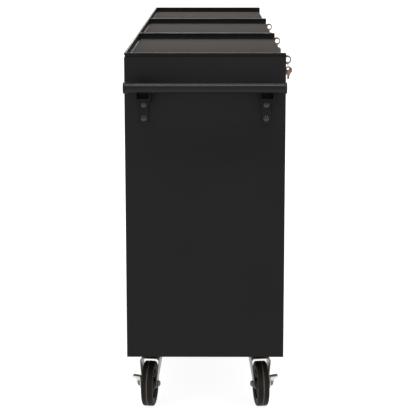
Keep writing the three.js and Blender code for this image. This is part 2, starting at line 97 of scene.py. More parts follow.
# %% [markdown]
# ## Floor and light
# A white floor that reaches past the view is both the ground and the backdrop. It glows a
# little, as a lit sweep does, so shadows on it stay faint. The sky is brighter overhead than
# at the horizon, so level surfaces are lit and upright black panels stay dark. A large soft
# lamp above the far end lights the mats, a strip lamp over the near end draws the bright line
# along the push handle, and a weak lamp in front picks out the pulls.

# %% A helper that adds a shader or geometry node
def put(tree, kind, links=None, **settings):
    """Adds a node, sets its properties, and feeds its inputs with values or with outputs."""
    made = tree.nodes.new(kind)
    for name, value in settings.items():
        setattr(made, name, value)
    for socket, value in (links or {}).items():
        if isinstance(value, bpy.types.NodeSocket):
            tree.links.new(value, made.inputs[socket])
        else:
            made.inputs[socket].default_value = value
    return made


def linear(hex_colour):
    """An sRGB colour such as #1b1b1c as the linear RGBA that the shaders use."""
    parts = [int(hex_colour[i : i + 2], 16) / 255 for i in (1, 3, 5)]
    return (*[p / 12.92 if p <= 0.04045 else ((p + 0.055) / 1.055) ** 2.4 for p in parts], 1)


print("middle grey is", round(linear("#808080")[0], 3), "linear")

# %% Sky
SKY_HORIZON, SKY_ZENITH = 0.45, 1.35
SKY_TOP = 0.9  # the height on a unit sphere where the sky is at its brightest
world = bpy.data.worlds.new("studio")
world.use_nodes = True
bpy.context.scene.world = world
sky_tree = world.node_tree
sky_tree.nodes.clear()
direction = put(sky_tree, "ShaderNodeTexCoord").outputs["Generated"]
height = put(sky_tree, "ShaderNodeSeparateXYZ", {0: direction}).outputs["Z"]
strength = put(
    sky_tree,
    "ShaderNodeMapRange",
    {"Value": height, "From Max": SKY_TOP, "To Min": SKY_HORIZON, "To Max": SKY_ZENITH},
).outputs["Result"]
sky = put(
    sky_tree, "ShaderNodeBackground", {"Color": linear("#ffffff"), "Strength": strength}
).outputs[0]
put(sky_tree, "ShaderNodeOutputWorld", {"Surface": sky})
print("sky from", SKY_HORIZON, "at the horizon to", SKY_ZENITH, "overhead")


# %% Floor
def rectangle(half_x, half_y):
    """The four corners of a rectangle round the origin."""
    return [(-half_x, -half_y), (half_x, -half_y), (half_x, half_y), (-half_x, half_y)]


FLOOR_GLOW, FLOOR_WHITE, FLOOR_HALF = 0.88, "#9c9c9c", 70.0
floor_finish = bpy.data.materials.new("white_studio_floor")
floor_finish.use_nodes = True
floor_tree = floor_finish.node_tree
floor_tree.nodes.clear()
matt_white = put(
    floor_tree, "ShaderNodeBsdfDiffuse", {"Color": linear(FLOOR_WHITE), "Roughness": 0.5}
)
glow = put(
    floor_tree, "ShaderNodeEmission", {"Color": linear("#ffffff"), "Strength": FLOOR_GLOW}
)
lit = put(floor_tree, "ShaderNodeAddShader", {0: matt_white.outputs[0], 1: glow.outputs[0]})
put(floor_tree, "ShaderNodeOutputMaterial", {"Surface": lit.outputs[0]})
floor_mesh = bpy.data.meshes.new("studio_floor")
floor_mesh.from_pydata(
    [(x, y, 0) for x, y in rectangle(FLOOR_HALF, FLOOR_HALF)], [], [(0, 1, 2, 3)]
)
floor_mesh.materials.append(floor_finish)
stood("studio_floor", floor_mesh)
print("floor", 2 * FLOOR_HALF, "m across")


# %% Lamps
def softbox(name, place, aim, size, power):
    """A soft lamp of a width and a length, at a place, turned to face a point."""
    lamp = bpy.data.lights.new(name, "AREA")
    lamp.shape, lamp.energy = "RECTANGLE", power
    lamp.size, lamp.size_y = size
    stand = stood(name, lamp)
    stand.location = place
    stand.rotation_euler = (Vector(aim) - Vector(place)).to_track_quat("-Z", "Y").to_euler()


softbox("overhead_softbox", (2.2, 0.2, 2.3), (0.9, 0, 1.0), (1.6, 2.0), 60)
softbox("handle_strip", (-1.5, 0, 2.7), (-1.5, 0, 0), (0.3, 2.6), 38)
softbox("front_softbox", (-0.6, -3.6, 2.4), (0, 0, 0.6), (1.8, 1.8), 14)
bpy.context.scene.view_settings.view_transform = "Standard"
print("three soft lamps")

# %% [markdown]
# ## Finishes
# Each finish starts from the real material and how its surface was made. A pattern's scale
# is one over its real size in metres. Grain that is too fine to show is drawn coarser.

# %% A helper that starts a finish
def finish(name, **constants):
    """A material whose shader's constant sockets are set; returns it, its tree and the shader."""
    material = bpy.data.materials.new(name)
    material.use_nodes = True
    tree = material.node_tree
    tree.nodes.clear()
    shader = put(tree, "ShaderNodeBsdfPrincipled")
    for socket, value in constants.items():
        shader.inputs[socket.replace("_", " ")].default_value = value
    put(tree, "ShaderNodeOutputMaterial", {"Surface": shader.outputs[0]})
    return material, tree, shader


def surface(tree, shader, tone, colours, wear, satin, relief, strength, depth, **bumped):
    """Drives a shader: two colours by a tone, roughness by wear over a range, and a bump."""
    colour = put(
        tree,
        "ShaderNodeMix",
        {"Factor": tone, "A": linear(colours[0]), "B": linear(colours[1])},
        data_type="RGBA",
    )
    worn, least, most = wear
    rough = put(
        tree,
        "ShaderNodeMapRange",
        {"Value": worn, "From Min": least, "From Max": most,
         "To Min": satin[0], "To Max": satin[1]},
    )
    bump = put(
        tree,
        "ShaderNodeBump",
        {"Height": relief, "Strength": strength, "Distance": depth * MM},
        **bumped,
    )
    tree.links.new(colour.outputs["Result"], shader.inputs["Base Color"])
    tree.links.new(rough.outputs[0], shader.inputs["Roughness"])
    tree.links.new(bump.outputs[0], shader.inputs["Normal"])


print("finishes before this:", len(bpy.data.materials))

# %% [markdown]
# ### Powder-coated steel
# The cabinets are mild steel sheet, sprayed with black polyester powder and baked. It dries
# to a low sheen with a fine orange peel, about 0.4 mm across, drawn here at 1.2 mm. A slow
# change of tone stands for dust and for the slight waviness of thin sheet.

# %% Powder-coated steel
DRIFT, SPECK = 3.5, 700.0  # patches 290 mm across, and specks of 1.4 mm


def powder_coat(name, dark, light, satin, peel_mm, peel_depth, shine):
    """Baked powder paint: two close tones, a roughness range, and the size of its peel."""
    material, tree, shader = finish(name, Metallic=0.0, IOR=1.5, Specular_IOR_Level=shine)
    place = put(tree, "ShaderNodeTexCoord").outputs["Object"]
    drift = put(tree, "ShaderNodeTexNoise", {"Vector": place, "Scale": DRIFT, "Detail": 3.0})
    speck = put(tree, "ShaderNodeTexNoise", {"Vector": place, "Scale": SPECK, "Detail": 1.0})
    mixed = put(
        tree,
        "ShaderNodeMath",
        {0: drift.outputs["Fac"], 1: 0.8, 2: speck.outputs["Fac"]},
        operation="MULTIPLY_ADD",
    )
    tone = put(
        tree,
        "ShaderNodeMapRange",
        {"Value": mixed.outputs[0], "From Min": 0.65, "From Max": 1.15},
    )
    peel = put(
        tree, "ShaderNodeTexNoise", {"Vector": place, "Scale": 1000 / peel_mm, "Detail": 2.0}
    )
    surface(
        tree, shader, tone.outputs[0], (dark, light), (drift.outputs["Fac"], 0.3, 0.7), satin,
        peel.outputs["Fac"], 0.35, peel_depth,
    )
    return material


case_paint = powder_coat(
    "powder_coated_steel", "#151515", "#1a1a1a", (0.42, 0.55), 1.2, 0.05, 0.1
)
tray_paint = powder_coat(
    "satin_coated_tray_steel", "#121312", "#171817", (0.4, 0.52), 1.0, 0.04, 0.09
)
tube_paint = powder_coat(
    "smooth_coated_handle_tube", "#0e0e0e", "#121212", (0.2, 0.28), 2.0, 0.02, 0.2
)
print("powder coats made")

# %% [markdown]
# ### Liner mat
# The trays are lined with a warm grey foamed PVC sheet with a pebbled, matt skin. The
# pebbles are about 1 mm across, and long faint streaks run along the sheet from the roll.

# %% Liner mat
STREAKS, PEBBLES = (2.0, 60.0, 1.0), 900.0  # streaks 500 by 17 mm, and pebbles of 1.1 mm


def liner_sheet(name, dark, light):
    """Foamed PVC: a matt pebbled skin with faint streaks along X from the calender rolls."""
    material, tree, shader = finish(name, Metallic=0.0, IOR=1.48, Specular_IOR_Level=0.03)
    place = put(tree, "ShaderNodeTexCoord").outputs["Object"]
    stretched = put(tree, "ShaderNodeMapping", {"Vector": place, "Scale": STREAKS})
    streak = put(
        tree,
        "ShaderNodeTexNoise",
        {"Vector": stretched.outputs[0], "Scale": 1.0, "Detail": 4.0},
    )
    pebble = put(tree, "ShaderNodeTexVoronoi", {"Vector": place, "Scale": PEBBLES})
    tone = put(
        tree,
        "ShaderNodeMath",
        {0: pebble.outputs["Distance"], 1: 0.35, 2: streak.outputs["Fac"]},
        operation="MULTIPLY_ADD",
    )
    spread = put(
        tree,
        "ShaderNodeMapRange",
        {"Value": tone.outputs[0], "From Min": 0.4, "From Max": 0.95},
    )
    surface(
        tree, shader, spread.outputs[0], (dark, light), (streak.outputs["Fac"], 0.0, 1.0),
        (0.78, 0.95), pebble.outputs["Distance"], 0.4, 0.15, invert=True,
    )
    return material


mat_sheet = liner_sheet("pebbled_pvc_tray_mat", "#241f1c", "#2b2623")
drawer_sheet = liner_sheet("ribbed_pvc_drawer_liner", "#3a3735", "#45413f")
print("liner sheets made")

# %% [markdown]
# ### Zinc plate, chrome and key metal
# Forks, brake levers and slides are steel with bright zinc plate, whose clear passivation
# leaves faint blue and straw tints. The yokes, bearing covers, caster plates and their bolts
# use a copy of the plate darkened far below bright zinc, as painted shade for the dim space
# under the chest; the brake levers keep the bright plate. The lock's bezel is polished chrome
# on zinc. The keys and rings are nickel-plated brass, gone slightly pink, with fine scratches
# along their length.

# %% Plated metals
SCRATCH_RUN = (1.0, 1.0, 0.08)  # scratches run up and down, twelve times as long as wide


def plated(name, cool, warm, satin, cloud_mm, scratch_mm, depth):
    """Plated steel or brass: clouds between two tints, and fine scratches in the surface."""
    material, tree, shader = finish(name, Metallic=1.0)
    place = put(tree, "ShaderNodeTexCoord").outputs["Object"]
    cloud = put(
        tree, "ShaderNodeTexNoise", {"Vector": place, "Scale": 1000 / cloud_mm, "Detail": 3.0}
    )
    tint = put(
        tree,
        "ShaderNodeMapRange",
        {"Value": cloud.outputs["Fac"], "From Min": 0.35, "From Max": 0.65},
    )
    long_way = put(tree, "ShaderNodeMapping", {"Vector": place, "Scale": SCRATCH_RUN})
    scratch = put(
        tree,
        "ShaderNodeTexNoise",
        {"Vector": long_way.outputs[0], "Scale": 1000 / scratch_mm, "Detail": 2.0},
    )
    surface(
        tree, shader, tint.outputs[0], (cool, warm), (scratch.outputs["Fac"], 0.3, 0.7), satin,
        scratch.outputs["Fac"], 0.2, depth,
    )
    return material


# Zinc darkened as painted shade under the chest, for yokes, bearing covers, caster plates and their
# bolts.
zinc_plate_painted_shade = plated(
    "zinc_plated_steel_painted_shade", "#6f7273", "#7e7464", (0.24, 0.4), 9.0, 1.2, 0.03
)
lever_zinc = plated(
    "bright_zinc_plated_brake_steel", "#bcc6c6", "#cdc8b8", (0.16, 0.32), 4.0, 1.0, 0.03
)
galvanised = plated(
    "rolled_zinc_slide_steel", "#a9adae", "#b9b7b0", (0.32, 0.48), 14.0, 1.5, 0.03
)
chrome_plate = plated(
    "polished_chrome_plate", "#d4d6d8", "#dcdcda", (0.06, 0.14), 6.0, 0.8, 0.01
)
key_plate = plated(
    "worn_nickel_plated_brass", "#887266", "#6e564a", (0.2, 0.36), 5.0, 0.7, 0.02
)
bolt_black = plated(
    "black_oxide_bolt_steel", "#38393b", "#454443", (0.12, 0.24), 3.0, 0.8, 0.02
)
print("plated metals made")

# %% [markdown]
# ### Rubber and moulded plastic
# The tyres are solid moulded rubber, nearly black with a brown cast, matt, and faintly cloudy
# with bloom. Where the two halves of the mould met, a thin flash line runs round the tread; its
# colour is painted paler than the tyre as a painted highlight along the ridge. The caps and
# wheel centres are black polypropylene with a spark-eroded grain.

# %% Moulded materials
BLOOM = 28.0  # clouds 36 mm across


def moulded(name, dark, light, satin, grain_mm, depth, shine):
    """Rubber or plastic from a mould: cloudy tone and a fine pitted grain."""
    material, tree, shader = finish(name, Metallic=0.0, IOR=1.5, Specular_IOR_Level=shine)
    place = put(tree, "ShaderNodeTexCoord").outputs["Object"]
    bloom = put(tree, "ShaderNodeTexNoise", {"Vector": place, "Scale": BLOOM, "Detail": 4.0})
    tone = put(
        tree,
        "ShaderNodeMapRange",
        {"Value": bloom.outputs["Fac"], "From Min": 0.3, "From Max": 0.7},
    )
    grain = put(
        tree, "ShaderNodeTexNoise", {"Vector": place, "Scale": 1000 / grain_mm, "Detail": 2.0}
    )
    surface(
        tree, shader, tone.outputs[0], (dark, light), (bloom.outputs["Fac"], 0.0, 1.0), satin,
        grain.outputs["Fac"], 0.35, depth,
    )
    return material


tyre_rubber = moulded(
    "moulded_tyre_rubber", "#13100d", "#1e1915", (0.5, 0.68), 1.4, 0.06, 0.12
)
# The flash line's paler colour is a painted highlight along its ridge.
flash_line_highlight = moulded(
    "tyre_flash_line_painted_highlight", "#3d3934", "#4b4741", (0.6, 0.75), 1.4, 0.05, 0.35
)
hub_plastic = moulded(
    "moulded_polypropylene_hub", "#121212", "#181818", (0.42, 0.55), 1.0, 0.05, 0.4
)
cap_plastic = moulded(
    "moulded_polypropylene_cap", "#0b0b0b", "#101010", (0.45, 0.6), 1.0, 0.05, 0.2
)
print("rubber and plastics made")

# %% [markdown]
# ## Making pieces
# A piece is built in millimetres, then placed, scaled to metres, and given its finish and its
# moving body; the solid nodes that it stands for are hidden. Its object stays at the origin.

# %% Between a bmesh, a plain mesh and an object
def as_mesh(name, built):
    """A bmesh as a plain mesh; the bmesh is freed."""
    mesh = bpy.data.meshes.new(name)
    built.to_mesh(mesh)
    built.free()
    return mesh


def opened(mesh):
    """A plain mesh as a bmesh; the mesh is removed."""
    built = bmesh.new()
    built.from_mesh(mesh)
    bpy.data.meshes.remove(mesh)
    return built


def settled(drawn):
    """What an object's modifiers or curve make, as a plain mesh; the object is removed."""
    seen = drawn.evaluated_get(bpy.context.evaluated_depsgraph_get())
    mesh = bpy.data.meshes.new_from_object(seen)
    bpy.data.objects.remove(drawn)
    return mesh


MM_TO_M = Matrix.Scale(MM, 4)
ALONG_Y = Matrix.Rotation(-math.pi / 2, 4, "X")  # turns a Z axis to +Y
print("up becomes", [round(v) for v in ALONG_Y @ Vector((0, 0, 1))])


# %% A finished piece
def show(name, built, material, body, *stands_for, place=Matrix(), crease=35, slot=None):
    """Turns a bmesh in millimetres into a finished piece on its body."""
    bmesh.ops.remove_doubles(built, verts=built.verts, dist=1e-4)
    bmesh.ops.recalc_face_normals(built, faces=built.faces)
    mesh = as_mesh(name, built)
    mesh.transform(place @ MM_TO_M)
    if place.determinant() < 0:
        mesh.flip_normals()
    for each in material if isinstance(material, list) else [material]:
        mesh.materials.append(each)
    mesh.shade_smooth()
    mesh.set_sharp_from_angle(angle=math.radians(crease))
    piece = stood(name, mesh)
    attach(piece, body)
    if stands_for:
        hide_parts(*stands_for)
        slot = slot or slot_of[stands_for[0]]


print("material slots:", *sorted(set(slot_of.values())))


# %% Outlines and turned shapes
def circle(radius, centre=(0, 0), steps=48):
    """A round outline."""
    turns = [2 * math.pi * i / steps for i in range(steps)]
    x, y = centre
    return [Vector((x + radius * math.cos(t), y + radius * math.sin(t))) for t in turns]


def rounded(corners, radius, steps=4):
    """The closed outline with each corner turned into a short curve."""
    points = [Vector(corner) for corner in corners]
    outline = []
    for before, corner, after in zip(points[-1:] + points[:-1], points, points[1:] + points[:1]):
        reach_in = min(radius, (before - corner).length * 0.49)
        reach_out = min(radius, (after - corner).length * 0.49)
        start = corner + (before - corner).normalized() * reach_in
        end = corner + (after - corner).normalized() * reach_out
        for i in range(steps + 1):
            t = i / steps
            outline.append(start.lerp(corner, t).lerp(corner.lerp(end, t), t))
    return outline


def lathe(profile, steps=72, closed=True):
    """Turns (radius, height) points round the Z axis. A radius of 0 is a pole."""
    built = bmesh.new()
    rings = []
    for radius, level in profile:
        if radius < 1e-6:
            rings.append([built.verts.new((0, 0, level))] * steps)
        else:
            around = circle(radius, steps=steps)
            rings.append([built.verts.new((x, y, level)) for x, y in around])
    pairs = list(zip(rings, rings[1:])) + ([(rings[-1], rings[0])] if closed else [])
    for a, b in pairs:
        for i in range(steps):
            j = (i + 1) % steps
            corners = list(dict.fromkeys([a[i], a[j], b[j], b[i]]))
            if len(corners) > 2:
                built.faces.new(corners)
    return built


print("a circle has", len(circle(1)), "points")


# %% Stamped plates, and parts joined in one piece
def stamped(outlines, thickness, edge):
    """A flat plate in X and Y, centred on Z, with softened edges; inner outlines are holes."""
    curve = bpy.data.curves.new("outline", "CURVE")
    curve.dimensions, curve.fill_mode = "2D", "BOTH"
    curve.extrude, curve.bevel_depth = thickness / 2 - edge, edge
    curve.bevel_resolution, curve.offset = 2, -edge
    for outline in outlines:
        spline = curve.splines.new("POLY")
        spline.points.add(len(outline) - 1)
        for point, (x, y) in zip(spline.points, outline):
            point.co = (x, y, 0, 1)
        spline.use_cyclic_u = True
    built = opened(settled(stood("outline", curve)))
    bpy.data.curves.remove(curve)
    bmesh.ops.remove_doubles(built, verts=built.verts, dist=1e-3)
    return built


def together(*parts):
    """Several (bmesh, matrix) pairs as one bmesh."""
    whole = bmesh.new()
    for part, place in parts:
        bmesh.ops.recalc_face_normals(part, faces=part.faces)
        part.transform(place)
        if place.determinant() < 0:
            bmesh.ops.reverse_faces(part, faces=part.faces)
        placed_part = as_mesh("part", part)
        whole.from_mesh(placed_part)
        bpy.data.meshes.remove(placed_part)
    return whole


print("helpers ready")

# %% [markdown]
# ## Folded sheet metal
# A press brake leaves a small radius on every fold and a broken edge on every cut. The
# cabinets, trays, drawers and crossmembers already have the right shape, so a copy of each
# is cleaned and its edges are softened. The bevel hardens normals, so large panels stay flat.
# The slide frames keep their solid shape and only get their finish.

# %% Softened copies of the sheet parts
def softened(node, radius, material):
    """A clean copy of a solid node with each sharp edge rounded, standing for that node."""
    built = opened(frame["nodes"][node].data.copy())
    bmesh.ops.remove_doubles(built, verts=built.verts, dist=1e-6)
    bmesh.ops.dissolve_limit(
        built, angle_limit=math.radians(1), verts=built.verts, edges=built.edges
    )
    copy = stood("soft_" + node, as_mesh("copy", built))
    copy.data.shade_smooth()
    edge = copy.modifiers.new("folds", "BEVEL")
    edge.width, edge.segments = radius * MM, 2
    edge.limit_method, edge.angle_limit = "ANGLE", math.radians(32)
    edge.use_clamp_overlap, edge.harden_normals = False, True
    mesh = settled(copy)
    mesh.name = "soft_" + node
    mesh.materials.clear()
    mesh.materials.append(material)
    piece = stood("soft_" + node, mesh)
    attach(piece, body_of[node])
    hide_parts(node)
    return len(mesh.polygons)


DRAWERS = range(1, 6)
SHEET_EDGE, BEAM_EDGE, DRAWER_EDGE = 0.6, 0.8, 0.5  # radii in millimetres
faces = 0
for cabinet in CABINETS:
    faces += softened(f"carcass_{cabinet}", SHEET_EDGE, case_paint)
    faces += softened(f"top_tray_{cabinet}", SHEET_EDGE, tray_paint)
    faces += softened(f"caster_crossmember_{cabinet}", BEAM_EDGE, case_paint)
    for number in DRAWERS:
        faces += softened(f"drawer_{cabinet}_{number}", DRAWER_EDGE, case_paint)
    slides = frame["nodes"][f"slide_frame_{cabinet}"].data
    slides.materials.clear()
    slides.materials.append(galvanised)
print("sheet parts:", faces, "faces")

# %% [markdown]
# ## Tray mats and drawer liners
# Each mat is cut from a roll with rounded corners, and lies on the tray's floor. The drawers
# get a ribbed liner: a thin base plate, and ribs that Geometry Nodes set side by side.

# %% Tray mats
MAT_CORNER, MAT_EDGE = 7, 0.9
for cabinet in CABINETS:
    low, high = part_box(f"tray_mat_{cabinet}")
    half_x, half_y = (high.x - low.x) / 2 / MM, (high.y - low.y) / 2 / MM
    corners = rounded(rectangle(half_x, half_y), MAT_CORNER)
    mat = stamped([corners], (high.z - low.z) / MM, MAT_EDGE)
    show(
        f"mat_{cabinet}", mat, mat_sheet, "chest", f"tray_mat_{cabinet}",
        place=Matrix.Translation((low + high) / 2),
    )
print("mat", round(2 * half_x), "by", round(2 * half_y), "mm")


# %% A geometry tree, its named inputs, and its result as a plain mesh
def new_tree(name, **inputs):
    """A geometry tree with named inputs; returns it, its inputs and their identifiers."""
    tree = bpy.data.node_groups.new(name, "GeometryNodeTree")
    tree.interface.new_socket("Geometry", in_out="INPUT", socket_type="NodeSocketGeometry")
    tree.interface.new_socket("Geometry", in_out="OUTPUT", socket_type="NodeSocketGeometry")
    sockets = {}
    for label, kind in inputs.items():
        socket = tree.interface.new_socket(
            label, in_out="INPUT", socket_type="NodeSocket" + kind
        )
        sockets[label] = socket.identifier
    return tree, put(tree, "NodeGroupInput").outputs, sockets


def end_tree(tree, geometry, material):
    """Ends a tree with real geometry in the given material."""
    real = put(tree, "GeometryNodeRealizeInstances", {"Geometry": geometry})
    coated = put(
        tree, "GeometryNodeSetMaterial", {"Geometry": real.outputs[0], "Material": material}
    )
    put(tree, "NodeGroupOutput", {0: coated.outputs[0]})


def grown(tree, sockets, points=((0, 0, 0),), **values):
    """Runs a tree on some points, in millimetres, and returns the plain mesh."""
    seed_mesh = bpy.data.meshes.new("points")
    seed_mesh.from_pydata([tuple(p) for p in points], [], [])
    host = stood("points", seed_mesh)
    modifier = host.modifiers.new("grow", "NODES")
    modifier.node_group = tree
    for label, value in values.items():
        modifier[sockets[label]] = value
    bpy.context.view_layer.update()
    return settled(host)


print("node trees so far:", len(bpy.data.node_groups))

# %% The liner's ribs
rib_tree, given, rib_sockets = new_tree(
    "liner_ribs", Length="Float", Radius="Float", Pitch="Float", Count="Int", Material="Material"
)
bar = put(
    rib_tree,
    "GeometryNodeMeshCylinder",
    {"Vertices": 8, "Radius": given["Radius"], "Depth": given["Length"]},
)
laid = put(
    rib_tree,
    "GeometryNodeTransform",
    {"Geometry": bar.outputs["Mesh"], "Rotation": (math.pi / 2, 0, 0)},
)
step = put(rib_tree, "ShaderNodeCombineXYZ", {"X": given["Pitch"]})
row = put(
    rib_tree,
    "GeometryNodeMeshLine",
    {"Count": given["Count"], "Offset": step.outputs[0]},
    mode="OFFSET",
)
ribs = put(
    rib_tree,
    "GeometryNodeInstanceOnPoints",
    {"Points": row.outputs[0], "Instance": laid.outputs[0]},
)
end_tree(rib_tree, ribs.outputs[0], given["Material"])
print("rib tree inputs:", *rib_sockets)

# %% A ribbed liner in each drawer
LINER_HALF_X, LINER_HALF_Y, LINER_CORNER = 286.0, 184.0, 6
BASE_SHEET, BASE_EDGE, MARGIN = 1.2, 0.3, 3  # the margin is what the ribs leave free
RIB_PITCH, RIB_RADIUS, RIB_LEVEL = 5.2, 0.9, 0.5
TUB_FLOOR, LINER_LEVEL = 9.5, 1.0  # above the front's bottom edge, then above the tub's floor
TUB_WALL, TUB_PLAY = 1.5, 1.0  # behind the liner
rib_count = int(2 * (LINER_HALF_X - MARGIN) / RIB_PITCH)
for cabinet in CABINETS:
    for number in DRAWERS:
        low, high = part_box(f"drawer_{cabinet}_{number}")
        inner_y = high.y - (TUB_WALL + TUB_PLAY) * MM - LINER_HALF_Y * MM
        base_z = low.z + (TUB_FLOOR + LINER_LEVEL) * MM
        spot = Vector(((low.x + high.x) / 2, inner_y, base_z))
        corners = rounded(rectangle(LINER_HALF_X, LINER_HALF_Y), LINER_CORNER)
        base = stamped([corners], BASE_SHEET, BASE_EDGE)
        rib_mesh = grown(
            rib_tree, rib_sockets,
            Length=2 * (LINER_HALF_Y - MARGIN), Radius=RIB_RADIUS, Pitch=RIB_PITCH,
            Count=rib_count, Material=drawer_sheet,
        )
        first_rib = -(rib_count - 1) * RIB_PITCH / 2
        rib_mesh.transform(Matrix.Translation((first_rib, 0, RIB_LEVEL)))
        base.from_mesh(rib_mesh)
        bpy.data.meshes.remove(rib_mesh)
        show(
            f"liner_{cabinet}_{number}", base, drawer_sheet, f"drawer_{cabinet}_{number}",
            place=Matrix.Translation(spot), slot="mat_foam",
        )
print("liners with", rib_count, "ribs each")

# %% [markdown]
# ## Push handle
# A painted steel tube runs across the end panel. A plastic cap closes each end, and two
# folded brackets hold it. The tube and caps are turned, and a bracket is built from rounded
# stamped plates: the back plate, two cheeks, and the web that joins them below the tube.

# %% Tube and caps
low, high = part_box("handle_tube")
tube_radius, tube_half = (high.z - low.z) / 2 / MM, (high.y - low.y) / 2 / MM
tube_spot = Matrix.Translation((low + high) / 2)
TUBE_WALL, TUBE_EDGE = 1.5, 0.3
tube_end = [
    (tube_radius, tube_half - TUBE_EDGE),
    (tube_radius - TUBE_EDGE, tube_half),
    (tube_radius - TUBE_WALL, tube_half),
]
tube = lathe([(r, -y) for r, y in reversed(tube_end)] + tube_end, 96)
show("push_tube", tube, tube_paint, "chest", "handle_tube", place=tube_spot @ ALONG_Y)

low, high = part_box("handle_cap_rear")
cap_radius, cap_depth = (high.z - low.z) / 2 / MM, (high.y - low.y) / MM
CAP_END, CAP_CORNER, CAP_PLAY, CAP_LIP = 3.0, 1.8, 0.2, (0.4, 0.5)
CAP_FLAT, CAP_DISH = 6, 0.1  # a flat ring round a shallow dished end
dome = [
    (cap_radius - CAP_CORNER * (1 - math.sin(t)), cap_depth - CAP_CORNER * (1 - math.cos(t)))
    for t in [math.radians(a) for a in range(0, 91, 15)]
]
cup, bore, dish = cap_depth - CAP_END, tube_radius + CAP_PLAY, cap_depth - CAP_DISH
cap_profile = [
    (0, cup), (bore, cup), (bore, 0), (cap_radius - CAP_LIP[0], 0), (cap_radius, CAP_LIP[1]),
    *reversed(dome), (cap_radius - CAP_FLAT, dish), (0, dish),
]
for end, side in (("rear", 1), ("front", -1)):
    low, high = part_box(f"handle_cap_{end}")
    rim = Vector(((low.x + high.x) / 2, low.y if side > 0 else high.y, (low.z + high.z) / 2))
    turn = ALONG_Y if side > 0 else ALONG_Y.inverted()
    show(
        f"tube_cap_{end}", lathe(cap_profile, 96, closed=False), cap_plastic, "chest",
        f"handle_cap_{end}", place=Matrix.Translation(rim) @ turn,
    )
print("tube", round(2 * tube_half), "mm long and", round(2 * tube_radius), "mm thick")

# %% [markdown]
# ### Bolts
# Every bolt is the same hexagon head with a domed top on a round washer. One head is built
# once, and Geometry Nodes put a copy at each point, turned to face the way they are told.

# %% The bolt and the tree that places it
WASHER, WASHER_RIM, HEAD_EDGE = 1.2, 2, 0.5


def hex_head(across, height):
    """A bolt head on its washer, standing on z = 0 in millimetres."""
    radius = across / math.sqrt(3)
    rim = radius + WASHER_RIM
    head = stamped([circle(radius, steps=6)], height, HEAD_EDGE)
    washer = [(0, 0), (rim, 0), (rim, 0.7), (rim - 0.6, WASHER), (0, WASHER)]
    crown = [(0, height), (radius * 0.82, height), (radius * 0.7, height + 0.7), (0, height + 1)]
    return together(
        (head, Matrix.Translation((0, 0, height / 2 + 1))),
        (lathe(washer, 36, closed=False), Matrix()),
        (lathe(crown, 30, closed=False), Matrix()),
    )


bolt_tree, given, bolt_sockets = new_tree(
    "bolts", Head="Object", Facing="Vector", Material="Material"
)
facing = put(bolt_tree, "FunctionNodeAlignRotationToVector", {"Vector": given["Facing"]}, axis="Z")
head_shape = put(bolt_tree, "GeometryNodeObjectInfo", {"Object": given["Head"]})
placed = put(
    bolt_tree,
    "GeometryNodeInstanceOnPoints",
    {
        "Points": given["Geometry"],
        "Instance": head_shape.outputs["Geometry"],
        "Rotation": facing.outputs[0],
    },
)
end_tree(bolt_tree, placed.outputs[0], given["Material"])


def bolts(across, height, points, facing, material):
    """Bolt heads at points in millimetres, all facing one way, as a bmesh."""
    head = stood("head", as_mesh("head", hex_head(across, height)))
    mesh = grown(bolt_tree, bolt_sockets, points, Head=head, Facing=facing, Material=material)
    bpy.data.objects.remove(head)
    return opened(mesh)


print("bolt tree inputs:", *bolt_sockets)

# %% Sizes of the handle brackets
PLATE, CHEEK, CHEEK_EDGE = 3.0, 2.5, 0.4
TONGUE_HALF, TONGUE = 12.0, 55.0  # the plate's narrow foot
CHEEK_BACK, CHEEK_NOSE = 47.0, 35.0  # the cheek's depth at the panel, and at its front
SEAT_BACK, SEAT_FRONT = (13.0, -9.0), (-5.5, -11.0)  # under the tube, from its axis
WEB_TOP, WEB_FALL, WEB_INSET, WEB_PLAY = 46.0, 12.0, 0.5, 0.2
BOLT_ACROSS, BOLT_HEIGHT = 9.5, 4.5
BOLT_DROPS = (51.0, 88.0)  # below the tube's axis
print("bracket cheeks are", CHEEK_BACK, "mm deep")

